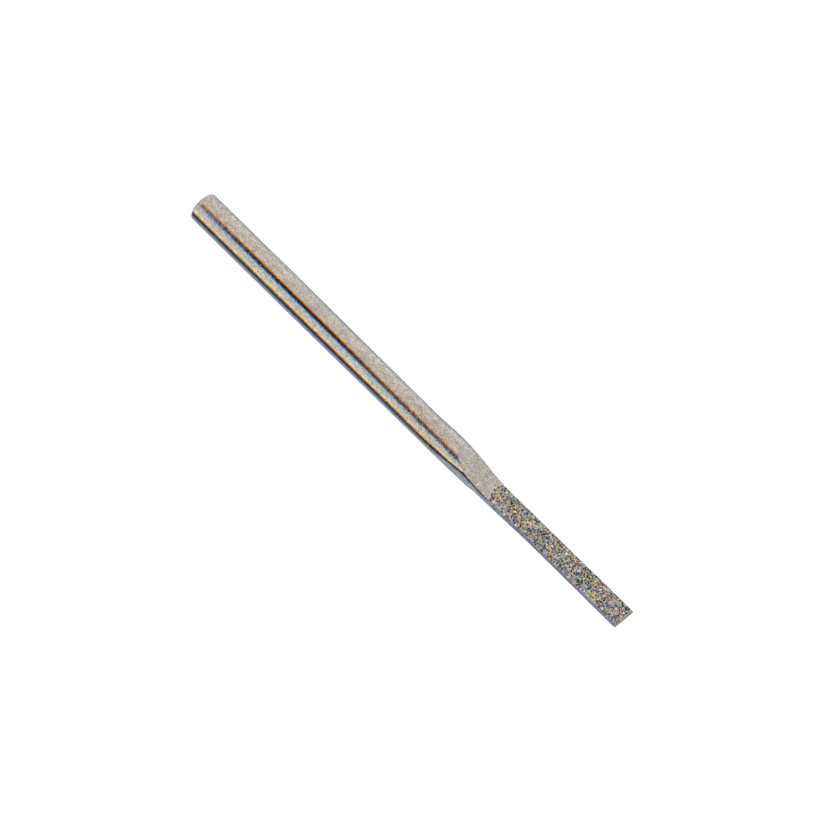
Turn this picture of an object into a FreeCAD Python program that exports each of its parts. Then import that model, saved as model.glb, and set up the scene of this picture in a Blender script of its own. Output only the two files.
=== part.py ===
"""Flat diamond file for a dental straight handpiece.

One steel blank has a round shank at the rear, a pressed and side-ground neck, and a thin
flat blade at the front. Both faces of the blade carry a layer of electroplated nickel with
diamond grains set in it. The two long edges and the end of the blade are bare steel.

Frame: millimetres, +X along the shank's axis towards the blade's tip, +Z up out of the
blade's upper face, origin at the centre of the shank's rear end.
"""

import FreeCAD, Part

import math
import os
import random

V = FreeCAD.Vector

# Driving sizes, in millimetres and degrees
OVERALL_LENGTH = 44.5
SHANK_DIAMETER = 2.35
GRIP_LENGTH = 11.0  # the parallel rear stretch that a chuck holds
NECK_DIAMETER = 2.26  # the shank is relieved to this where the neck begins
NECK_START = 23.0
CORE_THICKNESS = 0.33  # steel between the two nickel layers
BOND_THICKNESS = 0.085  # each nickel layer
COAT_START = 30.9
GRIND_END = 31.5  # where the side grinds reach the blade's width
BLADE_HALF_REAR = 0.83  # on the +Y side
BLADE_HALF_TIP = 0.86
MINUS_Y_PROUD = 0.01  # the -Y side stands this much farther out
UPPER_SLOPE = 18.9
LOWER_SLOPE = 12.0
GRAIN_RADIUS = 0.078  # centre to the farthest corner, on average

# Smaller features
END_RADIUS = 0.2  # edge of the shank's rear end
PRESS_CLEARANCE = 0.01  # height of the press line over the round stock behind the neck
SHOULDER = 0.09  # metal that the pressing pushed out on the neck's +Y side
SHOULDER_AT = 26.4
SHOULDER_REACH = 2.7  # from the shoulder's middle to where the stock is round again
STOCK_SECTIONS = 9  # ovals lofted from the neck start to past the shoulder
STOCK_SPACING = 1.0
BOND_MARGIN = 0.02  # steel left bare beside each nickel layer
GRAIN_MARGIN = 0.03  # nickel left free of grains beside the outermost ones
GRAIN_SPREAD = 0.12  # share by which the grains' radius varies each way
GRAIN_SHORTEST = 0.8  # shortest centre-to-corner length, as a share of the radius
GRAIN_GAP = 0.008  # least nickel between two grains
GRAIN_FLOOR = 0.004  # nickel under a grain's lowest corner
GRAIN_TRIES = 30000

SHANK_RADIUS = SHANK_DIAMETER / 2
NECK_RADIUS = NECK_DIAMETER / 2
CORE_HALF = CORE_THICKNESS / 2
PRESS_TOP = NECK_RADIUS + PRESS_CLEARANCE
REACH = 3.0  # how far the trimming prisms reach, past any of the stock

# Side view of the pressed faces: (x, distance from the mid-plane, radius at that corner)
UPPER_DROP = (PRESS_TOP - CORE_HALF) / math.tan(math.radians(UPPER_SLOPE))
UPPER_FROM = 27.6
UPPER_LINE = [
    (NECK_START, PRESS_TOP, 0),
    (UPPER_FROM, PRESS_TOP, 3.6),
    (UPPER_FROM + UPPER_DROP, CORE_HALF, 8.0),
    (OVERALL_LENGTH, CORE_HALF, 0),
]

LOWER_KNEE = 0.49  # the lower face turns to a shallow slope at this distance
LOWER_DROP = (PRESS_TOP - LOWER_KNEE) / math.tan(math.radians(LOWER_SLOPE))
LOWER_FROM = 27.0
LOWER_FLAT_FROM = 35.5
LOWER_LINE = [
    (NECK_START, PRESS_TOP, 0),
    (LOWER_FROM, PRESS_TOP, 7.0),
    (LOWER_FROM + LOWER_DROP, LOWER_KNEE, 6.0),
    (LOWER_FLAT_FROM, CORE_HALF, 20.0),
    (OVERALL_LENGTH, CORE_HALF, 0),
]

# Plan view of the side grinds: (x, distance from the mid-plane, radius at that corner)
MINUS_Y_LINE = [
    (NECK_START, 1.165, 0),
    (29.8, 0.878, 25.0),
    (GRIND_END, BLADE_HALF_REAR + MINUS_Y_PROUD, 25.0),
    (OVERALL_LENGTH, BLADE_HALF_TIP + MINUS_Y_PROUD, 0),
]
PLUS_Y_LINE = [
    (NECK_START, 1.725, 0),
    (28.95, 0.945, 4.0),
    (GRIND_END, BLADE_HALF_REAR, 25.0),
    (OVERALL_LENGTH, BLADE_HALF_TIP, 0),
]

# Masked rear edge of each nickel layer: (distance in front of COAT_START, y)
UPPER_MASK = [(0.06, 0.90), (-0.08, 0.30), (-0.10, -0.10), (0.16, -0.58), (0.22, -0.90)]
LOWER_MASK = [(0.0, 0.90), (0.12, 0.30), (0.05, -0.25), (-0.06, -0.90)]


def rounded_line(points):
    """Edges of a line through the corner points, each corner eased by its own radius."""
    edges = []
    corners = [(V(x, y, 0), radius) for x, y, radius in points]
    start = corners[0][0]
    for (before, _), (corner, radius), (after, _) in zip(corners, corners[1:], corners[2:]):
        back = (before - corner).normalize()
        ahead = (after - corner).normalize()
        half_turn = (math.pi - back.getAngle(ahead)) / 2
        tangent = radius * math.tan(half_turn)
        bisector = (back + ahead).normalize()
        inset = radius / math.cos(half_turn) - radius
        enter = corner + back * tangent
        leave = corner + ahead * tangent
        edges.append(Part.LineSegment(start, enter).toShape())
        edges.append(Part.Arc(enter, corner + bisector * inset, leave).toShape())
        start = leave
    edges.append(Part.LineSegment(start, corners[-1][0]).toShape())
    return edges


def outline_prism(upper, lower):
    """Prism along Z of the area between two rounded lines, one over and one under y = 0."""
    below = Part.Wire(rounded_line(lower)).mirror(V(0, 0, 0), V(0, 1, 0))
    above = Part.Wire(rounded_line(upper))
    ends = []
    for (x, high, _), (_, low, _) in ((upper[0], lower[0]), (upper[-1], lower[-1])):
        ends.append(Part.LineSegment(V(x, -low, 0), V(x, high, 0)).toShape())
    face = Part.Face(Part.Wire(Part.__sortEdges__(above.Edges + below.Edges + ends)))
    face.translate(V(0, 0, -REACH))
    return face.extrude(V(0, 0, 2 * REACH))


def pressed_profile():
    """Everything between the two pressed faces, as wide as the trimming prisms reach."""
    prism = outline_prism(UPPER_LINE, LOWER_LINE)
    prism.rotate(V(0, 0, 0), V(1, 0, 0), 90)
    return prism


def shank():
    """Rear of the blank: a parallel grip with an eased end, then a slight relief."""
    corner = SHANK_RADIUS - END_RADIUS
    slack = END_RADIUS * (1 - math.sqrt(0.5))
    rim = V(END_RADIUS, 0, SHANK_RADIUS)
    rounded = Part.Arc(V(0, 0, corner), V(slack, 0, SHANK_RADIUS - slack), rim)
    points = [
        rim,
        V(GRIP_LENGTH, 0, SHANK_RADIUS),
        V(NECK_START, 0, NECK_RADIUS),
        V(NECK_START, 0, 0),
        V(0, 0, 0),
        V(0, 0, corner),
    ]
    lines = [Part.LineSegment(a, b).toShape() for a, b in zip(points, points[1:])]
    face = Part.Face(Part.Wire([rounded.toShape()] + lines))
    return face.revolve(V(0, 0, 0), V(1, 0, 0), 360)


def oval(x, bulge):
    """Closed section of the stock at x: round, and pushed out by the bulge on its +Y side."""
    centre = V(x, bulge / 2, 0)
    side = centre + V(0, NECK_RADIUS + bulge / 2, 0)
    top = centre + V(0, 0, NECK_RADIUS)
    return Part.Wire(Part.Ellipse(side, top, centre).toShape())


def stock():
    """The round stock in front of the shank, before the pressed faces and grinds trim it."""
    sections = []
    for step in range(STOCK_SECTIONS):
        x = NECK_START + step * STOCK_SPACING
        share = (x - SHOULDER_AT) / SHOULDER_REACH
        bulge = SHOULDER * max(0.0, 1 - share**2) ** 2
        sections.append(oval(x, bulge))
    swollen = Part.makeLoft(sections, True, False)
    plain = Part.makeCylinder(NECK_RADIUS, OVERALL_LENGTH - x, V(x, 0, 0), V(1, 0, 0))
    return swollen.fuse(plain)


def file_blank():
    """The whole steel piece: the shank, and the stock trimmed to the neck and the blade."""
    ground = outline_prism(PLUS_Y_LINE, MINUS_Y_LINE)
    neck_and_blade = stock().common(pressed_profile()).common(ground)
    return shank().fuse(neck_and_blade).removeSplitter()


def nickel_bond(side, mask):
    """One nickel layer. side is 1 over the blade's upper face and -1 under the lower one."""
    steel = pressed_profile()
    layer = pressed_profile()
    layer.translate(V(0, 0, side * BOND_THICKNESS))
    rear = [V(COAT_START + ahead, y, 0) for ahead, y in mask]
    front = [V(OVERALL_LENGTH, rear[-1].y, 0), V(OVERALL_LENGTH, rear[0].y, 0)]
    outline = Part.Face(Part.makePolygon(rear + front + rear[:1]))
    masked = outline.extrude(V(0, 0, side * REACH))
    inset = []
    for line in (PLUS_Y_LINE, MINUS_Y_LINE):
        inset.append([(x, y - BOND_MARGIN, radius) for x, y, radius in line])
    return layer.cut(steel).common(masked).common(outline_prism(*inset))


def between(points, x):
    """The value at x on the straight lines that join the (x, value) points."""
    for (x0, y0), (x1, y1) in zip(points, points[1:]):
        if x <= x1:
            return y0 + (y1 - y0) * (x - x0) / (x1 - x0)
    return points[-1][1]


def steel_height(line, x):
    """Distance of a pressed face from the mid-plane at x, past its last corner but one."""
    (x0, z0, _), (corner, flat, radius) = line[-3:-1]
    slope = math.atan2(z0 - flat, corner - x0)
    flat_from = corner + radius * math.tan(slope / 2)
    arc_from = flat_from - radius * math.sin(slope)
    if x > arc_from:
        return flat + radius - math.sqrt(radius**2 - max(0.0, flat_from - x) ** 2)
    return flat + (corner - x) * math.tan(slope)


def grain_spots(mask, chance):
    """Scattered (x, y, radius) spots that keep clear of each other and of the nickel's edge."""
    masked = sorted((y, COAT_START + ahead) for ahead, y in mask)
    half_widths = [(GRIND_END, BLADE_HALF_REAR), (OVERALL_LENGTH, BLADE_HALF_TIP)]
    spots = []
    for _ in range(GRAIN_TRIES):
        x = chance.uniform(COAT_START, OVERALL_LENGTH)
        y = chance.uniform(-BLADE_HALF_TIP, BLADE_HALF_TIP)
        radius = GRAIN_RADIUS * chance.uniform(1 - GRAIN_SPREAD, 1 + GRAIN_SPREAD)
        rim = radius + GRAIN_MARGIN
        if abs(y) + rim + BOND_MARGIN > between(half_widths, x):
            continue
        if x - rim < between(masked, y) or x + rim > OVERALL_LENGTH:
            continue
        if all(math.hypot(x - u, y - v) > radius + r + GRAIN_GAP for u, v, r in spots):
            spots.append((x, y, radius))
    return spots


def grain(x, y, radius, floor, side, chance):
    """One crystal with eight faces, resting on the floor height with its lowest corner."""
    turn = FreeCAD.Rotation(chance.uniform(0, 360), chance.uniform(0, 360), chance.uniform(0, 360))
    arms = []
    for axis in (V(1, 0, 0), V(0, 1, 0), V(0, 0, 1)):
        ahead = radius * chance.uniform(GRAIN_SHORTEST, 1)
        behind = radius * chance.uniform(GRAIN_SHORTEST, 1)
        arms.append([turn.multVec(axis * ahead), turn.multVec(axis * -behind)])
    lowest = min(arm.z * side for pair in arms for arm in pair)
    centre = V(x, y, side * (floor - lowest))
    faces = []
    for a in arms[0]:
        for b in arms[1]:
            for c in arms[2]:
                corners = [centre + a, centre + b, centre + c]
                faces.append(Part.Face(Part.makePolygon(corners + corners[:1])))
    solid = Part.makeSolid(Part.makeShell(faces))
    if solid.Volume < 0:
        solid.reverse()
    return solid


def grit(side, line, mask, seed):
    """All of one face's grains."""
    chance = random.Random(seed)
    grains = []
    for x, y, radius in grain_spots(mask, chance):
        floor = steel_height(line, x - radius) + GRAIN_FLOOR
        grains.append(grain(x, y, radius, floor, side, chance))
    return grains


def main():
    """Build every node and write each one to its own file."""
    upper_grains = grit(1, UPPER_LINE, UPPER_MASK, 11)
    lower_grains = grit(-1, LOWER_LINE, LOWER_MASK, 12)
    nodes = {
        "file_blank": file_blank(),
        "upper_nickel_bond": nickel_bond(1, UPPER_MASK).cut(upper_grains),
        "upper_diamond_grit": Part.makeCompound(upper_grains),
        "lower_nickel_bond": nickel_bond(-1, LOWER_MASK).cut(lower_grains),
        "lower_diamond_grit": Part.makeCompound(lower_grains),
    }
    os.makedirs("parts", exist_ok=True)
    for name, shape in nodes.items():
        print(name, len(shape.Solids), "solids", shape.isValid(), round(shape.Volume, 3), "mm3")
        shape.exportStep(f"parts/{name}.step")


main()
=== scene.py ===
"""Look of the flat diamond dental file: steel blank, nickel layers and diamond grit.

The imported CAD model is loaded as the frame, and each of its nodes is replaced here by a finer
mesh of the same overall size. Shapes are worked out in millimetres, in the CAD's own frame
(+X from the shank's rear end to the blade's tip, +Z out of the blade's upper face), and are
scaled to metres when a mesh is made.
"""

import math
import random

import bmesh
import bpy
import numpy as np
from mathutils import Euler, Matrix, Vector


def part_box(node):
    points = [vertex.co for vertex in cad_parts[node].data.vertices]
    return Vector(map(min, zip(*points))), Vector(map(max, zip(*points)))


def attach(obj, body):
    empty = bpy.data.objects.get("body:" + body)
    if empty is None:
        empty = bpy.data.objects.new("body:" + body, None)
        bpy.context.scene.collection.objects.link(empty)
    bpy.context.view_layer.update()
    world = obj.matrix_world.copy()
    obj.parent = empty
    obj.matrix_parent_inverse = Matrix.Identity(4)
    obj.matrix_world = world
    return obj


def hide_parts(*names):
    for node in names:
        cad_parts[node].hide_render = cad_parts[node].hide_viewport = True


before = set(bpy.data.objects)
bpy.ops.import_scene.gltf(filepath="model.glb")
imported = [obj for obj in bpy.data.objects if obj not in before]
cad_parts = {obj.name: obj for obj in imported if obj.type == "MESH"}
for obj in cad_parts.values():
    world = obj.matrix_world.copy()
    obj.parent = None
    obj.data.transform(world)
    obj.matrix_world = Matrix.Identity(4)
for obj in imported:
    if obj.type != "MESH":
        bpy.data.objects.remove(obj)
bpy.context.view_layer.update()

MM = 0.001
BODY = "root"

# Sizes of the steel blank, in millimetres
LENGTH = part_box("file_blank")[1].x / MM
SHANK_RADIUS = 1.175
GRIP_LENGTH = 11.0  # the parallel rear stretch that a chuck holds
NECK_START = 23.0  # pressing and grinding set in beyond here
NECK_RADIUS = 1.13  # of the round stock there
END_RADIUS = 0.2  # rounding of the shank's rear end
TIP_RADIUS = 0.02  # rounding of the blade's end
CORE_HALF = 0.165  # half the steel's thickness in the blade

# Side and plan views of the neck and blade: (x, distance from the mid-plane, easing length)
PRESS_TOP = 1.14  # just clear of the round stock
UPPER_LINE = [
    (NECK_START, PRESS_TOP, 0),
    (27.6, PRESS_TOP, 0.6),
    (30.45, CORE_HALF, 1.27),
    (LENGTH, CORE_HALF, 0),
]
LOWER_LINE = [
    (NECK_START, PRESS_TOP, 0),
    (27.0, PRESS_TOP, 0.74),
    (30.06, 0.49, 0.45),
    (35.5, CORE_HALF, 0.6),
    (LENGTH, CORE_HALF, 0),
]
MINUS_Y_LINE = [
    (NECK_START, 1.165, 0),
    (25.9, 1.097, 0.6),
    (28.4, 0.947, 0.8),
    (29.8, 0.878, 0.3),
    (31.5, 0.84, 0.3),
    (LENGTH, 0.87, 0),
]
PLUS_Y_LINE = [
    (NECK_START, 1.725, 0),
    (28.2, 1.062, 0.5),
    (29.2, 0.918, 0.5),
    (31.5, 0.83, 0.6),
    (LENGTH, 0.86, 0),
]

# Metal that the pressing pushed out on the neck's +Y side: its height, middle and half length
SHOULDER = 0.09
SHOULDER_AT = 26.4
SHOULDER_REACH = 2.7

# Nickel layers
BOND = 0.085  # thickness
COAT_START = 30.9  # x of the layers' rear edge, give or take the mask
BOND_MARGIN = 0.02  # steel left bare beside each layer
# How far towards the tip each layer's masked rear edge lies from COAT_START: (y, distance)
UPPER_MASK = [(-0.90, 0.22), (-0.58, 0.16), (-0.10, -0.10), (0.30, -0.08), (0.90, 0.06)]
LOWER_MASK = [(-0.90, -0.06), (-0.25, 0.05), (0.30, 0.12), (0.90, 0.0)]


# ---------------------------------------------------------------- shape helpers


def level(points, x):
    """Height at x of the straight lines through points, given as (x, height)."""
    return np.interp(x, [p[0] for p in points], [p[1] for p in points])


def eased(points, x):
    """The same for points given as (x, height, easing), each corner eased by a parabola."""
    px = np.array([p[0] for p in points])
    py = np.array([p[1] for p in points])
    height = np.interp(x, px, py)
    slopes = np.diff(py) / np.diff(px)
    for (corner, _, ease), before, after in zip(points[1:-1], slopes, slopes[1:]):
        if ease:
            reach = np.maximum(0.0, ease - np.abs(x - corner))
            height = height + (after - before) * reach**2 / (4 * ease)
    return height


def round_meet(a, b, radius):
    """Signed distance inside both a and b, their shared corner rounded to the radius."""
    over_a = np.maximum(radius + a, 0.0)
    over_b = np.maximum(radius + b, 0.0)
    return np.minimum(-radius, np.maximum(a, b)) + np.hypot(over_a, over_b)


def mesh_object(name, points_mm, faces, smooth):
    """A mesh piece that rides on the body."""
    mesh = bpy.data.meshes.new(name)
    mesh.from_pydata((np.asarray(points_mm) * MM).tolist(), [], faces)
    mesh.validate()
    mesh.polygons.foreach_set("use_smooth", [smooth] * len(mesh.polygons))
    mesh.update()
    piece = bpy.data.objects.new(name, mesh)
    bpy.context.scene.collection.objects.link(piece)
    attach(piece, BODY)
    return piece


def ring_faces(rings, around):
    """Quads between successive closed rings of as many points each."""
    faces = []
    for ring in range(rings - 1):
        low = ring * around
        for k in range(around):
            n = (k + 1) % around
            faces.append((low + k, low + n, low + around + n, low + around + k))
    return faces


# ---------------------------------------------------------------- steel blank

AROUND = 240  # points on each section
RAYS = 1440  # directions tried to find a section's outline
RAY_REACH = 1.6  # longer than any section's greatest radius
HALVINGS = 36  # steps to close in on the outline along a ray
FAR = 9.0  # a distance that leaves a face out of a section

# Distance between sections along the shank, the neck and the blade
SHANK_STEP = 0.5
NECK_STEP = 0.04
BLADE_STEP = 0.25
SHANK_FROM = 0.5  # the sections of the straight shank start here
NECK_TO = 32.5  # the close sections end here
BLADE_TO = LENGTH - 0.1
REAR_SECTIONS = 9  # sections round the rear end's rounding
TIP_SECTIONS = 5  # and round the tip's
END_RINGS = (0.02, 0.3, 0.55, 0.8, 0.98)  # rings on the rear face, as shares of its size

EDGE_UPPER = 0.03  # greatest rounding round the upper flat and on the -Y side
# Rounding of the long edges below and on the +Y side: (x, radius)
EDGE_LOWER = [(NECK_START, 0.01), (25.0, 0.075), (29.5, 0.075), (31.0, 0.03)]
SIDE_DRAFT = [(29.5, 0.0), (31.5, 0.10)]  # slope of the blade's -Y side: (x, slope)
FACET_EDGE = 0.012  # rounding between the narrow facets

# Narrow facets along the neck's upper -Y edge: tilt of the normal from +Z towards -Y, in
# degrees, and how deep the facet cuts into the sharp edge, as (x, depth)
STEEP_FACET = (
    69.5,
    [
        (24.3, -0.02),
        (25.2, 0.0),
        (25.75, 0.008),
        (26.5, 0.020),
        (27.25, 0.0335),
        (28.4, 0.046),
        (29.1, 0.10),
        (30.5, 0.08),
        (31.3, 0.01),
    ],
)
SHALLOW_FACET = (
    57.0,
    [
        (26.3, -0.005),
        (27.0, 0.006),
        (28.0, 0.017),
        (28.6, 0.028),
        (29.1, 0.105),
        (30.5, 0.092),
        (31.3, 0.0),
    ],
)
UNDER_FACET = (
    80.0,
    [
        (24.3, -0.02),
        (25.2, 0.0),
        (25.75, 0.009),
        (26.5, 0.021),
        (27.25, 0.028),
        (28.4, 0.034),
        (29.1, 0.059),
        (30.5, 0.048),
        (31.3, 0.005),
    ],
)


def shank_radius(x):
    """Radius of the round stock at x, with the eased rear end and the slight relief."""
    radius = level([(GRIP_LENGTH, SHANK_RADIUS), (NECK_START, NECK_RADIUS)], x)
    rear = np.clip(END_RADIUS - x, 0.0, END_RADIUS)
    return radius - END_RADIUS + np.sqrt(END_RADIUS**2 - rear**2)


def facet_field(facet, x, y, z, radius):
    """Signed distance inside one narrow facet along the neck's upper -Y edge."""
    tilt, depths = facet
    across = math.sin(math.radians(tilt))
    up = math.cos(math.radians(tilt))
    side = eased(MINUS_Y_LINE, x)
    top = np.minimum(eased(UPPER_LINE, x), np.sqrt(np.maximum(radius**2 - side**2, 0.0)))
    corner = np.where(side > radius * across, radius, side * across + top * up)
    return z * up - y * across - corner + level(depths, x)


def blank_field(x, y, z):
    """Signed distance from the blank's section at x: negative inside the steel."""
    share = np.clip((x - SHOULDER_AT) / SHOULDER_REACH, -1, 1)
    bulge = SHOULDER * (1 - share**2) ** 2
    radius = shank_radius(x)
    stock = np.hypot((y - bulge / 2) * radius / (radius + bulge / 2), z) - radius
    neck = x > NECK_START
    upper = np.where(neck, z - eased(UPPER_LINE, x), -FAR)
    lower = np.where(neck, -z - eased(LOWER_LINE, x), -FAR)
    draft = level(SIDE_DRAFT, x)
    minus = np.where(neck, -y - eased(MINUS_Y_LINE, x) + draft * (z - CORE_HALF), -FAR)
    for facet in (STEEP_FACET, SHALLOW_FACET, UNDER_FACET):
        cut = np.where(neck, facet_field(facet, x, y, z, radius), -FAR)
        minus = round_meet(minus, cut, FACET_EDGE)
    plus = np.where(neck, y - eased(PLUS_Y_LINE, x), -FAR)
    edge = level(EDGE_LOWER, x)
    crisp = np.minimum(edge, EDGE_UPPER)
    faces = round_meet(round_meet(stock, upper, crisp), minus, crisp)
    return round_meet(round_meet(faces, lower, edge), plus, edge)


def blank_outlines(stations):
    """The section outline at each station, as evenly spaced (y, z) points."""
    angles = np.linspace(0, 2 * math.pi, RAYS, endpoint=False)
    x = np.repeat(np.asarray(stations)[:, None], RAYS, axis=1)
    near = np.zeros_like(x)
    far = np.full_like(x, RAY_REACH)
    for _ in range(HALVINGS):
        middle = (near + far) / 2
        inside = blank_field(x, middle * np.cos(angles), middle * np.sin(angles)) < 0
        near = np.where(inside, middle, near)
        far = np.where(inside, far, middle)
    outlines = []
    for reach in near:
        line = np.stack([reach * np.cos(angles), reach * np.sin(angles)], axis=1)
        closed = np.vstack([line, line[:1]])
        run = np.concatenate([[0.0], np.cumsum(np.hypot(*np.diff(closed, axis=0).T))])
        wanted = np.linspace(0, run[-1], AROUND, endpoint=False)
        outlines.append(np.stack([np.interp(wanted, run, closed[:, k]) for k in (0, 1)], axis=1))
    return outlines


def blank_stations():
    """The x of every section, closest where the shape changes most."""
    turn = np.linspace(0, math.pi / 2, REAR_SECTIONS)
    rear = END_RADIUS * (1 - np.cos(turn))
    shank = np.arange(SHANK_FROM, NECK_START, SHANK_STEP)
    neck = np.arange(NECK_START, NECK_TO, NECK_STEP)
    blade = np.arange(NECK_TO, BLADE_TO, BLADE_STEP)
    return np.concatenate([rear, shank, neck, blade, [LENGTH - TIP_RADIUS]])


def tip_points(outline):
    """Rings that take the last section over the rounded edge onto the flat end face."""
    turn = np.linspace(0, math.pi / 2, TIP_SECTIONS)[1:]
    places = np.append(LENGTH - TIP_RADIUS * (1 - np.sin(turn)), LENGTH)
    insets = np.append(TIP_RADIUS * (1 - np.cos(turn)), 2 * TIP_RADIUS)
    points = []
    for x, inset in zip(places, insets):
        shrink = 1 - inset / np.abs(outline).max(axis=0)
        points += [(x, y, z) for y, z in outline * shrink]
    return points


def steel_blank():
    """Shank, neck and blade as one closed skin."""
    stations = blank_stations()
    outlines = blank_outlines(stations)
    points = []
    for share in END_RINGS:
        points += [(0.0, y * share, z * share) for y, z in outlines[0]]
    for x, outline in zip(stations, outlines):
        points += [(x, y, z) for y, z in outline]
    points += tip_points(outlines[-1])

    rings = len(points) // AROUND
    faces = ring_faces(rings, AROUND)
    faces.append(tuple(range(AROUND - 1, -1, -1)))
    faces.append(tuple(range((rings - 1) * AROUND, rings * AROUND)))
    piece = mesh_object("steel_blank", points, faces, True)
    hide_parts("file_blank")
    return piece


# ---------------------------------------------------------------- nickel layer and grit

COAT_ALONG = 600  # points along the layer
COAT_ACROSS = 80
EDGE_CROWDING = 1.25  # above 1, the points across crowd towards the long edges
FOOT = 0.02  # how far the layer's edges reach into the steel
SIDE_CHAMFER = 0.042  # width of the layer's sloping long edges
START_EASE = 0.05  # length of its rounded start
TIP_EASE = 0.03  # and of its rounded end
RIM_WIDTH = 0.035  # full-height nickel along the layer's edges
HOLLOW = 0.034  # how far the nickel lies below its rims between the grains
BRIGHT_END = 0.11  # the bright line along the layer's start ends here
BRIGHT_FADE = 0.05  # and fades over this length before it
# How far the nickel climbs each grain, and where and how broadly, as shares of its radius
COLLAR = 0.010
COLLAR_AT = 0.8
COLLAR_WIDTH = 0.25
# Rows of the layer behind and ahead of a grain that its collar can reach
ROWS_BEHIND = 12
ROWS_AHEAD = 14

# Waves on the nickel between the grains
RIPPLES = 60
RIPPLE_PITCH = 30.0  # radians a millimetre
RIPPLE_PHASES = 6.3  # about a full turn, in radians
RIPPLE_HEIGHT = 0.0011

GRAIN_TRIES = 26000
GRAIN_GAP = 0.156  # least distance between two grains' centres
GRAIN_SIZES = (0.068, 0.120, 0.092)  # least, greatest and usual radius
GRAIN_RISE = (-0.10, 0.30)  # a grain's middle above the nickel, as a share of its radius
GRAIN_STRETCH = (0.85, 1.12)
GRIT_FROM = COAT_START - 0.1  # spots are tried from here on
# Least distance of a grain's middle from the layer's start, its tip and its long edges
GRIT_AFTER = 0.13
TIP_MARGIN = 0.105
SIDE_MARGIN = 0.08
FULL_TURN = 6.283  # radians

CRYSTAL_KINDS = 14
CRYSTAL_CORNERS = (10, 14)  # fewest and most
CRYSTAL_RADII = (0.82, 1.0)  # least and greatest distance of a corner from the middle

# The one grain on the blade's side: its shape's seed, its radius and its middle
STRAY_SEED = 5
STRAY_SIZE = 0.065
STRAY_PLACE = (31.9, -0.89, -0.13)


def mask_line(mask, y):
    """x of the coating's rear edge at y."""
    return COAT_START + level(mask, y)


def coat_half_width(x):
    """Half the layer's width at x, the same on both sides of the blade."""
    return np.minimum(eased(MINUS_Y_LINE, x), eased(PLUS_Y_LINE, x)) - BOND_MARGIN


def scatter(mask, chance):
    """Grain spots (x, y, radius) over the coated face, none nearer than the grain gap."""
    spots = np.zeros((0, 2))
    sizes = []
    for _ in range(GRAIN_TRIES):
        x = chance.uniform(GRIT_FROM, LENGTH - TIP_MARGIN)
        half = float(coat_half_width(x))
        y = chance.uniform(-half + SIDE_MARGIN, half - SIDE_MARGIN)
        if x < float(mask_line(mask, y)) + GRIT_AFTER:
            continue
        if len(spots) and np.hypot(spots[:, 0] - x, spots[:, 1] - y).min() < GRAIN_GAP:
            continue
        spots = np.vstack([spots, (x, y)])
        sizes.append(chance.triangular(*GRAIN_SIZES))
    return [(x, y, size) for (x, y), size in zip(spots, sizes)]


def layer_grid(mask):
    """x and y of the layer's points, row by row, and the x where the layer starts."""
    across = np.linspace(-1, 1, COAT_ACROSS)
    across = np.sign(across) * (1 - (1 - np.abs(across)) ** EDGE_CROWDING)
    along = np.linspace(0, 1, COAT_ALONG)[:, None]
    start = mask_line(mask, across[None, :] * coat_half_width(COAT_START))
    x = start + (LENGTH - start) * along
    y = across[None, :] * coat_half_width(x)
    return x, y, start


def layer_height(line, mask, x, y):
    """Distance of the layer's full surface from the mid-plane, with its sloping edges."""
    half = coat_half_width(x)
    sides = np.clip(np.minimum(y + half, half - y) / SIDE_CHAMFER, 0.0, 1.0)
    from_start = (x - mask_line(mask, y)) / START_EASE
    ends = np.clip(np.minimum(from_start, (LENGTH - x) / TIP_EASE), 0.0, 1.0)
    rise = np.minimum(sides, np.sqrt(1 - (1 - ends) ** 2))
    return eased(line, x) - FOOT + (BOND + FOOT) * rise


def nickel_heights(x, y, start, line, mask, spots, chance):
    """The same, its field sunken inside the rims, rippled, and climbing each grain."""
    ends = np.minimum(x - start, LENGTH - x)
    rim = np.minimum(ends, coat_half_width(x) - np.abs(y))
    inner = np.clip((rim - RIM_WIDTH) / RIM_WIDTH, 0.0, 1.0)
    ripple = np.zeros_like(x)
    for _ in range(RIPPLES):
        kx = chance.gauss(0, RIPPLE_PITCH)
        ky = chance.gauss(0, RIPPLE_PITCH)
        ripple += np.sin(kx * x + ky * y + chance.uniform(0, RIPPLE_PHASES))
    height = layer_height(line, mask, x, y) + inner * (ripple * RIPPLE_HEIGHT - HOLLOW)

    step = (LENGTH - COAT_START) / COAT_ALONG
    for gx, gy, size in spots:
        row = int((gx - COAT_START) / step)
        rows = slice(max(0, row - ROWS_BEHIND), row + ROWS_AHEAD)
        away = np.hypot(x[rows] - gx, y[rows] - gy) / size
        collar = COLLAR * np.exp(-((away - COLLAR_AT) / COLLAR_WIDTH) ** 2)
        height[rows] = height[rows] + collar * inner[rows]
    return height


def layer_faces():
    """Faces of the layer's top, underside and ends, wound for the upper layer."""
    faces = []
    for i in range(COAT_ALONG - 1):
        for j in range(COAT_ACROSS - 1):
            a = i * COAT_ACROSS + j
            faces.append((a, a + COAT_ACROSS, a + COAT_ACROSS + 1, a + 1))
    for i in range(1, COAT_ALONG - 2):
        a = i * COAT_ACROSS
        b = a + COAT_ACROSS
        faces.append((a, a + COAT_ACROSS - 1, b + COAT_ACROSS - 1, b))
    base = (COAT_ALONG - 1) * COAT_ACROSS
    faces.append(tuple(range(COAT_ACROSS)) + (2 * COAT_ACROSS - 1, COAT_ACROSS))
    last_row = tuple(range(base + COAT_ACROSS - 1, base - 1, -1))
    faces.append((base - COAT_ACROSS, base - 1) + last_row)
    return faces


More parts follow.
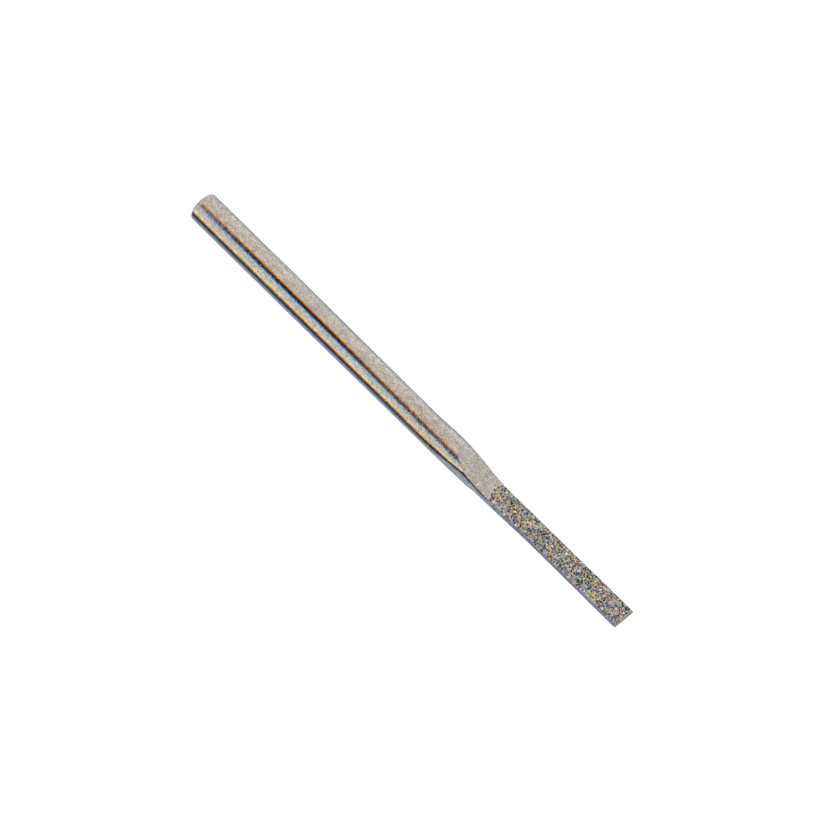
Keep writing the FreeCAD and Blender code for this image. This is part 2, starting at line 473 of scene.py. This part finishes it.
def nickel_layer(name, side, line, mask, spots, chance):
    """One face's nickel, with a rim attribute that is 1 along its bright start."""
    x, y, start = layer_grid(mask)
    height = nickel_heights(x, y, start, line, mask, spots, chance)
    points = np.stack([x, y, side * height], axis=-1).reshape(-1, 3)
    faces = layer_faces()
    if side < 0:
        faces = [face[::-1] for face in faces]
    piece = mesh_object(f"nickel_{name}", points, faces, True)
    rim = piece.data.attributes.new("rim", "FLOAT", "POINT")
    bright = np.clip((BRIGHT_END - (x - start)) / BRIGHT_FADE, 0.0, 1.0)
    rim.data.foreach_set("value", bright.ravel())
    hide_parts(f"{name}_nickel_bond")
    return piece


def crystal_shapes(chance, kinds):
    """Blocky crystals as (points, faces), each the hull of corners scattered over a ball."""
    shapes = []
    for _ in range(kinds):
        cloud = bmesh.new()
        for _ in range(chance.randint(*CRYSTAL_CORNERS)):
            spot = Vector([chance.gauss(0, 1) for _ in range(3)]).normalized()
            cloud.verts.new(spot * chance.uniform(*CRYSTAL_RADII))
        hull = bmesh.ops.convex_hull(cloud, input=cloud.verts)
        inside = hull["geom_interior"] + hull["geom_unused"]
        spare = {part for part in inside if isinstance(part, bmesh.types.BMVert)}
        bmesh.ops.delete(cloud, geom=list(spare), context="VERTS")
        bmesh.ops.recalc_face_normals(cloud, faces=cloud.faces)
        cloud.verts.index_update()
        points = np.array([v.co for v in cloud.verts])
        faces = [[v.index for v in f.verts] for f in cloud.faces]
        cloud.free()
        shapes.append((points, faces))
    return shapes


def grit_layer(name, side, line, spots, chance):
    """One face's grains, each a crystal turned at random and sunk into the nickel."""
    shapes = crystal_shapes(chance, CRYSTAL_KINDS)
    points = []
    faces = []
    count = 0
    for gx, gy, size in spots:
        corners, sides = shapes[chance.randrange(len(shapes))]
        turn = Euler([chance.uniform(0, FULL_TURN) for _ in range(3)]).to_matrix()
        stretch = [chance.uniform(*GRAIN_STRETCH) for _ in range(3)]
        bed = float(eased(line, gx)) + BOND - HOLLOW
        centre = np.array([gx, gy, side * (bed + size * chance.uniform(*GRAIN_RISE))])
        points.append((corners * stretch * size) @ np.array(turn).T + centre)
        faces += [[k + count for k in face] for face in sides]
        count += len(corners)
    piece = mesh_object(f"grit_{name}", np.vstack(points), faces, False)
    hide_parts(f"{name}_diamond_grit")
    return piece


def coated_face(name, side, line, mask, seed):
    """The nickel layer and the grit of one face: side is 1 for the upper one, -1 below."""
    chance = random.Random(seed)
    spots = scatter(mask, chance)
    nickel = nickel_layer(name, side, line, mask, spots, chance)
    grit = grit_layer(name, side, line, spots, chance)
    return nickel, grit


def stray_grain():
    """One grain that the plating caught on the blade's side."""
    corners, faces = crystal_shapes(random.Random(STRAY_SEED), 1)[0]
    points = corners * STRAY_SIZE + np.array(STRAY_PLACE)
    return mesh_object("grit_stray", points, faces, False)


# ---------------------------------------------------------------- node helpers

# Colour sockets of a Mix node: the two inputs and the result
MIX_FIRST = 6
MIX_SECOND = 7
MIX_RESULT = 2


def add_node(tree, kind, values=None, **settings):
    """A node with its settings made and its named or numbered inputs filled in or linked."""
    made = tree.nodes.new(kind)
    for key, value in settings.items():
        setattr(made, key, value)
    for key, value in (values or {}).items():
        if isinstance(value, bpy.types.NodeSocket):
            tree.links.new(value, made.inputs[key])
        else:
            made.inputs[key].default_value = value
    return made


def new_material(name):
    """An empty node material: (material, tree, its Principled shader)."""
    material = bpy.data.materials.new(name)
    material.use_nodes = True
    tree = material.node_tree
    return material, tree, tree.nodes["Principled BSDF"]


def place_in_mm(tree, stretch=(1, 1, 1)):
    """Object coordinates in millimetres, each axis multiplied by its stretch."""
    place = add_node(tree, "ShaderNodeTexCoord").outputs["Object"]
    scale = [factor / MM for factor in stretch]
    return add_node(tree, "ShaderNodeMapping", {"Vector": place, "Scale": scale}).outputs["Vector"]


def axes_of(tree, vector):
    """The vector's outputs "X", "Y" and "Z"."""
    return add_node(tree, "ShaderNodeSeparateXYZ", {"Vector": vector}).outputs


def combined(tree, operation, first, second):
    """The Math node's result for two values."""
    return add_node(tree, "ShaderNodeMath", {0: first, 1: second}, operation=operation).outputs[0]


def noise(tree, vector, kind, output="Fac"):
    """Noise from 0 to 1: kind is (features a millimetre, detail, roughness)."""
    pitch, detail, roughness = kind
    values = {"Vector": vector, "Scale": pitch, "Detail": detail, "Roughness": roughness}
    return add_node(tree, "ShaderNodeTexNoise", values).outputs[output]


def ramp(tree, factor, stops, blend="LINEAR"):
    """Colours at positions from 0 to 1: stops is a list of (position, colour)."""
    made = add_node(tree, "ShaderNodeValToRGB", {"Fac": factor})
    made.color_ramp.interpolation = blend
    elements = made.color_ramp.elements
    while len(elements) < len(stops):
        elements.new(0.5)
    for element, (position, colour) in zip(elements, stops):
        element.position = position
        element.color = (*colour, 1.0)
    return made.outputs["Color"]


def grey_ramp(tree, factor, stops):
    """The same for plain greys: stops is a list of (position, brightness)."""
    return ramp(tree, factor, [(position, (grey,) * 3) for position, grey in stops])


def spread(tree, factor, low, high, from_low=0.3, from_high=0.7):
    """The factor's middle range stretched to run from low to high."""
    values = {
        "Value": factor,
        "From Min": from_low,
        "From Max": from_high,
        "To Min": low,
        "To Max": high,
    }
    return add_node(tree, "ShaderNodeMapRange", values).outputs["Result"]


def bump(tree, height, distance_mm, below=None):
    """A bump of that depth, on top of another bump where one is given."""
    values = {"Height": height, "Distance": distance_mm * MM, "Strength": 1.0}
    if below is not None:
        values["Normal"] = below
    return add_node(tree, "ShaderNodeBump", values).outputs["Normal"]


def mixed(tree, share, first, second, blend="MIX"):
    """Two colours mixed, by the second one's share."""
    values = {"Factor": share, MIX_FIRST: first, MIX_SECOND: second}
    made = add_node(tree, "ShaderNodeMix", values, data_type="RGBA", blend_type=blend)
    return made.outputs[MIX_RESULT]


def tinted(tree, colour, tint):
    """The colour multiplied by the tint."""
    return mixed(tree, 1.0, colour, tint, "MULTIPLY")


def hue_noise(tree, vector, kind, strength):
    """A tint that wanders round white, each channel on its own, by its strength."""
    colour = noise(tree, vector, kind, "Color")
    offset = [1 - share / 2 for share in strength]
    scaled = {0: colour, 1: strength, 2: offset}
    return add_node(tree, "ShaderNodeVectorMath", scaled, operation="MULTIPLY_ADD").outputs[0]


# ---------------------------------------------------------------- steel

# Noises of the steel: (features a millimetre, detail, roughness)
SPECKLE_NOISE = (12.0, 2.5, 0.6)
BLUSH_NOISE = (4.6, 3.0, 0.6)
MOTTLE_NOISE = (2.6, 3.0, 0.6)
CLOUD_NOISE = (1.0, 2.0, 0.5)
WAVE_NOISE = (1.6, 1.0, 0.5)
CHATTER_NOISE = (3.0, 1.0, 0.5)
# Above 1, more features along that axis
SPECKLE_STRETCH = (1.0, 0.8, 0.8)
CHATTER_STRETCH = (3.0, 1.0, 1.0)

# The blasted surface's speckle, and the wider mottle and clouds that tint it
SPECKLE = [(0.34, (0.39, 0.365, 0.34)), (0.5, (0.60, 0.565, 0.525)), (0.66, (0.83, 0.79, 0.74))]
MOTTLE = [(0.35, (0.84, 0.84, 0.87)), (0.65, (1.11, 1.11, 1.08))]
CLOUDS = [(0.3, (0.91, 0.92, 0.96)), (0.7, (1.05, 1.035, 0.99))]
BLUSH = (0.80, 0.66, 1.35)  # how far the speckle's red, green and blue wander
# The steel's tint from the rear end (0) to the tip (1): duller in the ground neck, faintly
# violet along the blade, and lighter on the end face, which is a painted highlight
VIOLET_TINT_AND_END_HIGHLIGHT = [
    (0.0, (1.0, 1.0, 1.0)),
    (0.48, (1.0, 1.0, 1.0)),
    (0.55, (0.95, 0.95, 0.94)),
    (0.68, (0.975, 0.975, 0.965)),
    (0.725, (0.92, 0.90, 0.96)),
    (0.77, (0.80, 0.74, 0.95)),
    (0.997, (0.80, 0.74, 0.95)),
    # The tip's rounding and end face, lightened as a painted highlight
    (0.999, (1.4, 1.32, 1.22)),
]
# How strong the grinding chatter is from the rear end (0) to the tip (1)
CHATTER = [
    (0.00, 0.35),
    (0.04, 0.5),
    (0.19, 0.6),
    (0.26, 0.22),
    (0.42, 0.25),
    (0.48, 0.85),
    (0.58, 0.8),
    (0.62, 0.55),
    (0.65, 0.15),
    (1.00, 0.15),
]
STEEL_ROUGHNESS = (0.10, 0.17)
# Depths of the steel's bumps, in millimetres
WAVE_DEPTH = 0.008
CHATTER_DEPTH = 0.026
SPECKLE_DEPTH = 0.0016


def steel_colour(tree, place, speckle, share):
    """Speckled grey, tinted in wider and wider patches, violet along the blade, with a painted
    highlight on the end face.
    """
    tints = (
        hue_noise(tree, place, BLUSH_NOISE, BLUSH),
        ramp(tree, noise(tree, place, MOTTLE_NOISE), MOTTLE),
        ramp(tree, noise(tree, place, CLOUD_NOISE), CLOUDS),
        # the tint along X, with the end face's painted highlight
        ramp(tree, share, VIOLET_TINT_AND_END_HIGHLIGHT),
    )
    colour = ramp(tree, speckle, SPECKLE)
    for tint in tints:
        colour = tinted(tree, colour, tint)
    return colour


def steel_surface(tree, place, speckle, share):
    """Long waves, grinding chatter where it is strong, and the blasted speckle."""
    chatter = noise(tree, place_in_mm(tree, CHATTER_STRETCH), CHATTER_NOISE)
    marks = combined(tree, "MULTIPLY", chatter, grey_ramp(tree, share, CHATTER))
    waved = bump(tree, noise(tree, place, WAVE_NOISE), WAVE_DEPTH)
    ground = bump(tree, marks, CHATTER_DEPTH, waved)
    return bump(tree, speckle, SPECKLE_DEPTH, ground)


def steel_material():
    """Satin steel: finely blasted, with faint grinding chatter at both ends of the shank."""
    material, tree, shader = new_material("satin_steel")
    place = place_in_mm(tree)
    speckle = noise(tree, place_in_mm(tree, SPECKLE_STRETCH), SPECKLE_NOISE)
    share = spread(tree, axes_of(tree, place)["X"], 0.0, 1.0, 0.0, LENGTH)
    tree.links.new(steel_colour(tree, place, speckle, share), shader.inputs["Base Color"])
    tree.links.new(spread(tree, speckle, *STEEL_ROUGHNESS), shader.inputs["Roughness"])
    tree.links.new(steel_surface(tree, place, speckle, share), shader.inputs["Normal"])
    shader.inputs["Metallic"].default_value = 1.0
    return material


# ---------------------------------------------------------------- nickel and diamond

# Noises of the nickel and of the grains: (features a millimetre, detail, roughness)
NODULE_NOISE = (22.0, 3.0, 0.6)
DULL_NOISE = (8.0, 2.0, 0.5)
DULL_HUE_NOISE = (7.5, 3.0, 0.6)
FLAW_NOISE = (30.0, 2.0, 0.5)
GRAIN_HUE_NOISE = (8.0, 3.0, 0.6)

# The nickel's random greys between the grains: dark on the whole, partly the dull nickel's own
# tone and partly painted shade between the grains
NICKEL_DULL_AND_SHADE = [
    (0.34, (0.15, 0.145, 0.135)),
    (0.5, (0.40, 0.385, 0.36)),
    (0.66, (0.76, 0.735, 0.69)),
]
NICKEL_HUES = (3.6, 1.5, 4.5)  # how far its red, green and blue wander
# The nickel along the layer's start, left light without that painted shade
NICKEL_BRIGHT = (0.80, 0.78, 0.74, 1)
NICKEL_ROUGHNESS = (0.22, 0.42)
NODULE_DEPTH = 0.006  # millimetres

# Each shade's first share of the grains, from 0 to 1, and its colour: tones that differ at random,
# the near-black ones partly painted shade between the grains and the palest ones partly painted
# highlights
GRAIN_COLOURS_AND_PAINTED_LIGHT = [
    # near-black: partly painted shade between the grains
    (0.00, (0.003, 0.003, 0.004)),
    (0.24, (0.003, 0.040, 0.12)),
    (0.36, (0.20, 0.055, 0.008)),
    (0.45, (0.02, 0.02, 0.10)),
    (0.52, (0.09, 0.10, 0.09)),
    (0.61, (0.60, 0.37, 0.11)),
    (0.71, (0.22, 0.43, 0.56)),
    (0.79, (0.46, 0.33, 0.22)),
    (0.87, (0.36, 0.38, 0.32)),
    # palest: partly painted highlight
    (0.94, (0.72, 0.68, 0.60)),
]
DARK_SHADES = GRAIN_COLOURS_AND_PAINTED_LIGHT[:2]
GRAIN_HUES = (1.9, 1.0, 2.4)  # the same for the grains
GRAIN_ROUGHNESS = (0.08, 0.3)
GRAIN_IOR = 1.6  # below clear diamond's, because the grains are frosted


def nickel_material():
    """Electroplated nickel: bright along its start, dull and nodular between the grains, where its
    dark colour is partly painted shade.
    """
    material, tree, shader = new_material("plated_nickel")
    place = place_in_mm(tree)
    nodules = noise(tree, place, NODULE_NOISE)
    # dull nickel, its dark colour partly painted shade between the grains
    dull = ramp(tree, noise(tree, place, DULL_NOISE), NICKEL_DULL_AND_SHADE)
    dull = tinted(tree, dull, hue_noise(tree, place, DULL_HUE_NOISE, NICKEL_HUES))
    rim = add_node(tree, "ShaderNodeAttribute", attribute_name="rim").outputs["Fac"]
    tree.links.new(mixed(tree, rim, dull, NICKEL_BRIGHT), shader.inputs["Base Color"])
    tree.links.new(spread(tree, nodules, *NICKEL_ROUGHNESS), shader.inputs["Roughness"])
    tree.links.new(bump(tree, nodules, NODULE_DEPTH), shader.inputs["Normal"])
    shader.inputs["Metallic"].default_value = 1.0
    return material


def diamond_material(name, shades):
    """Synthetic diamond grit: glassy, each grain one of the shades, some of which carry painted
    shade and some painted highlight.
    """
    material, tree, shader = new_material(name)
    place = place_in_mm(tree)
    island = add_node(tree, "ShaderNodeNewGeometry").outputs["Random Per Island"]
    shade = ramp(tree, island, shades, "CONSTANT")
    shade = tinted(tree, shade, hue_noise(tree, place, GRAIN_HUE_NOISE, GRAIN_HUES))
    flaws = noise(tree, place, FLAW_NOISE)
    tree.links.new(shade, shader.inputs["Base Color"])
    tree.links.new(spread(tree, flaws, *GRAIN_ROUGHNESS), shader.inputs["Roughness"])
    shader.inputs["IOR"].default_value = GRAIN_IOR
    return material


# ---------------------------------------------------------------- camera and floor

VIEW_AZIMUTH = math.radians(48.0)
VIEW_ELEVATION = math.radians(62.0)
# The point of the file that the view is centred on, in millimetres
AIM_X = 22.32
AIM_Y = -0.037
# In metres
CAMERA_DISTANCE = 0.9
FIELD_WIDTH = 0.05809  # what the view's width covers at the object
NEAR_CLIP = 0.01
FAR_CLIP = 10.0
FLOOR_RADIUS = 0.7
FLOOR_Z = -SHANK_RADIUS * MM

SENSOR_WIDTH = 36.0  # millimetres
FLOOR_SIDES = 96
FLOOR_COLOUR = (0.6, 0.6, 0.6, 1)
FLOOR_ROUGHNESS = 0.9
FLOOR_GLOW = 0.8


def view_direction():
    """From the object towards the camera."""
    flat = math.cos(VIEW_ELEVATION)
    x = math.sin(VIEW_AZIMUTH) * flat
    y = -math.cos(VIEW_AZIMUTH) * flat
    return Vector((x, y, math.sin(VIEW_ELEVATION)))


def camera():
    """The view down on the blade's end and upper face, through a long lens."""
    data = bpy.data.cameras.new("camera")
    data.sensor_width = SENSOR_WIDTH
    data.lens = SENSOR_WIDTH * CAMERA_DISTANCE / FIELD_WIDTH
    data.clip_start = NEAR_CLIP
    data.clip_end = FAR_CLIP
    made = bpy.data.objects.new("camera", data)
    bpy.context.scene.collection.objects.link(made)
    made.location = Vector((AIM_X * MM, AIM_Y * MM, 0)) + view_direction() * CAMERA_DISTANCE
    made.rotation_mode = "QUATERNION"
    made.rotation_quaternion = (-view_direction()).to_track_quat("-Z", "Y")
    bpy.context.scene.camera = made


def floor():
    """A pale table top, bright enough to read as white."""
    bpy.ops.mesh.primitive_circle_add(
        vertices=FLOOR_SIDES,
        radius=FLOOR_RADIUS,
        fill_type="NGON",
        location=(AIM_X * MM, 0, FLOOR_Z),
    )
    made = bpy.context.object
    made.name = "floor"
    material, _, shader = new_material("pale_floor")
    shader.inputs["Base Color"].default_value = FLOOR_COLOUR
    shader.inputs["Roughness"].default_value = FLOOR_ROUGHNESS
    shader.inputs["Emission Color"].default_value = (1, 1, 1, 1)
    shader.inputs["Emission Strength"].default_value = FLOOR_GLOW
    made.data.materials.append(material)
    made.visible_glossy = False


# ---------------------------------------------------------------- light tent

# The tent's colours by height, from straight down (0) to straight up (1), on its -Y and +Y sides
FRONT_COLOURS = [
    (0.00, (0.34, 0.40, 0.52)),
    (0.035, (0.44, 0.50, 0.62)),
    (0.06, (0.50, 0.57, 0.62)),
    (0.10, (0.33, 0.50, 0.80)),
    (0.18, (0.06, 0.25, 0.48)),
    (0.25, (0.015, 0.025, 0.11)),
    (0.33, (0.19, 0.035, 0.03)),
    (0.40, (0.84, 0.32, 0.05)),
    (0.47, (1.40, 1.13, 0.38)),
    (0.54, (1.05, 1.12, 0.84)),
    (0.61, (0.92, 0.92, 0.90)),
    (0.80, (0.84, 0.82, 0.80)),
    (1.00, (0.80, 0.78, 0.76)),
]
REAR_COLOURS = [
    (0.00, (0.34, 0.35, 0.36)),
    (0.20, (0.46, 0.48, 0.49)),
    (0.35, (0.65, 0.69, 0.71)),
    (0.50, (0.82, 0.85, 0.84)),
    (0.64, (0.92, 0.95, 0.96)),
    (0.83, (0.88, 0.82, 0.76)),
    (0.93, (0.84, 0.80, 0.76)),
    (1.00, (0.80, 0.78, 0.76)),
]
# Where along X, from the -X end (0) to the +X end (1), the -Y side keeps its full colours
FRINGED = [(0.25, 0.0), (0.28, 1.0), (0.46, 1.0), (0.49, 0.0)]
# Elsewhere they are nearly grey, and this much on the way to the veil's colour
VEILED_SATURATION = 0.12
VEIL_SHARE = 0.45
VEIL = (0.52, 0.53, 0.54, 1)
# How the tent's brightness changes from its -X end (0) to its +X end (1)
END_SHADES = [
    (0.00, (0.70, 0.70, 0.70)),
    (0.10, (0.85, 0.85, 0.85)),
    (0.20, (1.10, 1.09, 1.07)),
    (0.32, (1.0, 1.0, 1.0)),
    (0.70, (1.0, 1.0, 1.0)),
    (0.80, (1.10, 1.10, 1.12)),
    (0.90, (1.15, 1.15, 1.18)),
    (1.00, (0.60, 0.60, 0.62)),
]
# Directions, as parts of a unit vector: the -Y side passes into the +Y side between these Y,
# and the -X end, which has the +Y side's colours too, passes into the rest between these X
SIDE_BLEND = (-0.15, 0.15)
END_BLEND = (-0.62, -0.44)


def front_colour(tree, height, along):
    """The tent's -Y side: a coloured gap low down in the middle, and a veiled one elsewhere."""
    full = ramp(tree, height, FRONT_COLOURS)
    values = {"Color": full, "Saturation": VEILED_SATURATION}
    faded = add_node(tree, "ShaderNodeHueSaturation", values).outputs[0]
    veiled = mixed(tree, VEIL_SHARE, faded, VEIL)
    return mixed(tree, grey_ramp(tree, along, FRINGED), veiled, full)


def tent():
    """A white light tent: pale all round, cooler low down, with a dark gap low on its -Y side."""
    world = bpy.data.worlds.new("tent")
    world.use_nodes = True
    bpy.context.scene.world = world
    tree = world.node_tree
    axes = axes_of(tree, add_node(tree, "ShaderNodeTexCoord").outputs["Generated"])
    height = spread(tree, axes["Z"], 0.0, 1.0, -1.0, 1.0)
    along = spread(tree, axes["X"], 0.0, 1.0, -1.0, 1.0)
    side = spread(tree, axes["Y"], 0.0, 1.0, *SIDE_BLEND)
    end = spread(tree, axes["X"], 1.0, 0.0, *END_BLEND)
    pale = combined(tree, "MAXIMUM", side, end)
    front = front_colour(tree, height, along)
    rear = ramp(tree, height, REAR_COLOURS)
    colour = tinted(tree, mixed(tree, pale, front, rear), ramp(tree, along, END_SHADES))
    back = tree.nodes["Background"]
    tree.links.new(colour, back.inputs["Color"])
    back.inputs["Strength"].default_value = 1.0


# The slit above the shank, in millimetres: its distance, half its width, and its ends in X
GAP_DISTANCE = 30.0
GAP_HALF_WIDTH = 18.0
GAP_FROM = -14.0
GAP_TO = 30.0
# Colours across the slit from its -Y edge (0) to its +Y edge (1), and how solid it is there
GAP_COLOURS = [
    (0.16, (0.50, 0.90, 0.95)),
    (0.25, (0.05, 0.42, 0.80)),
    (0.36, (0.0, 0.05, 0.32)),
    (0.43, (0.0, 0.0, 0.04)),
    (0.54, (0.02, 0.0, 0.0)),
    (0.60, (0.30, 0.05, 0.0)),
    (0.71, (0.98, 0.52, 0.10)),
    (0.80, (1.05, 0.80, 0.32)),
    (0.88, (0.90, 0.84, 0.60)),
]
GAP_REACH = [(0.13, 0.0), (0.17, 1.0), (0.85, 1.0), (0.90, 0.0)]
# How solid it is, and how far it sags towards -Y, from its -X end (0) to its +X end (1)
GAP_SOLIDITY = [
    (0.00, 0.0),
    (0.06, 0.50),
    (0.10, 0.90),
    (0.15, 1.0),
    (0.25, 1.0),
    (0.44, 1.0),
    (0.49, 0.90),
    (0.545, 0.78),
    (0.575, 0.88),
    (0.60, 1.0),
    (0.68, 1.0),
    (0.72, 0.85),
    (0.78, 0.40),
    (1.00, 0.0),
]
GAP_SAG = [(0.0, 0.02), (0.42, 0.03), (0.50, 0.08), (0.58, 0.16), (0.70, 0.17), (1.0, 0.17)]


def gap_mesh():
    """A flat strip along X that faces the shank, with its UV running along and across it."""
    line = Vector((0, view_direction().y, view_direction().z)).normalized()
    across = Vector((0, line.z, -line.y))
    points = []
    for x, width in ((GAP_FROM, -1), (GAP_TO, -1), (GAP_TO, 1), (GAP_FROM, 1)):
        points.append((line * GAP_DISTANCE + across * GAP_HALF_WIDTH * width) + Vector((x, 0, 0)))
    mesh = bpy.data.meshes.new("tent_gap")
    mesh.from_pydata([p * MM for p in points], [], [(0, 1, 2, 3)])
    mesh.uv_layers.new(name="gap").data.foreach_set("uv", [0, 0, 1, 0, 1, 1, 0, 1])
    return mesh


def gap_material():
    """Dark in the middle, tinted at the edges and clear beyond them."""
    material = bpy.data.materials.new("dark_gap")
    material.use_nodes = True
    tree = material.node_tree
    tree.nodes.clear()
    axes = axes_of(tree, add_node(tree, "ShaderNodeTexCoord").outputs["UV"])
    lowered = combined(tree, "ADD", axes["Y"], grey_ramp(tree, axes["X"], GAP_SAG))
    colour = ramp(tree, lowered, GAP_COLOURS)
    reach = grey_ramp(tree, lowered, GAP_REACH)
    solid = combined(tree, "MULTIPLY", grey_ramp(tree, axes["X"], GAP_SOLIDITY), reach)
    dark = add_node(tree, "ShaderNodeEmission", {"Color": colour, "Strength": 1.0}).outputs[0]
    clear = add_node(tree, "ShaderNodeBsdfTransparent").outputs[0]
    both = add_node(tree, "ShaderNodeMixShader", {0: solid, 1: clear, 2: dark}).outputs[0]
    add_node(tree, "ShaderNodeOutputMaterial", {"Surface": both})
    return material


def tent_gap():
    """The tent's dark slit above the shank, seen only in reflections."""
    mesh = gap_mesh()
    mesh.materials.append(gap_material())
    made = bpy.data.objects.new("tent_gap", mesh)
    bpy.context.scene.collection.objects.link(made)
    made.visible_camera = False
    made.visible_diffuse = False
    made.visible_shadow = False
    made.visible_transmission = False


# The lamp's width and place in metres, and its power in watts
LAMP_WIDTH = 0.35
LAMP_PLACE = (0.0, 0.12, 0.40)
LAMP_POWER = 1.6


def key_light():
    """A broad soft light overhead, for the floor and the grit."""
    data = bpy.data.lights.new("key", "AREA")
    data.shape = "DISK"
    data.size = LAMP_WIDTH
    data.energy = LAMP_POWER
    made = bpy.data.objects.new("key", data)
    bpy.context.scene.collection.objects.link(made)
    made.location = LAMP_PLACE
    made.rotation_mode = "QUATERNION"
    made.rotation_quaternion = (made.location - Vector((AIM_X * MM, 0, 0))).to_track_quat("Z", "Y")
    made.visible_glossy = False


# ---------------------------------------------------------------- build

UPPER_SEED = 21
LOWER_SEED = 22

blank = steel_blank()
upper_nickel, upper_grit = coated_face("upper", 1, UPPER_LINE, UPPER_MASK, UPPER_SEED)
lower_nickel, lower_grit = coated_face("lower", -1, LOWER_LINE, LOWER_MASK, LOWER_SEED)
stray = stray_grain()

nickel = nickel_material()
diamond = diamond_material("diamond_grit", GRAIN_COLOURS_AND_PAINTED_LIGHT)
blank.data.materials.append(steel_material())
for piece in (upper_nickel, lower_nickel):
    piece.data.materials.append(nickel)
for piece in (upper_grit, lower_grit):
    piece.data.materials.append(diamond)
stray.data.materials.append(diamond_material("dark_diamond", DARK_SHADES))

floor()
tent()
tent_gap()
key_light()
camera()
bpy.context.scene.view_settings.view_transform = "Standard"
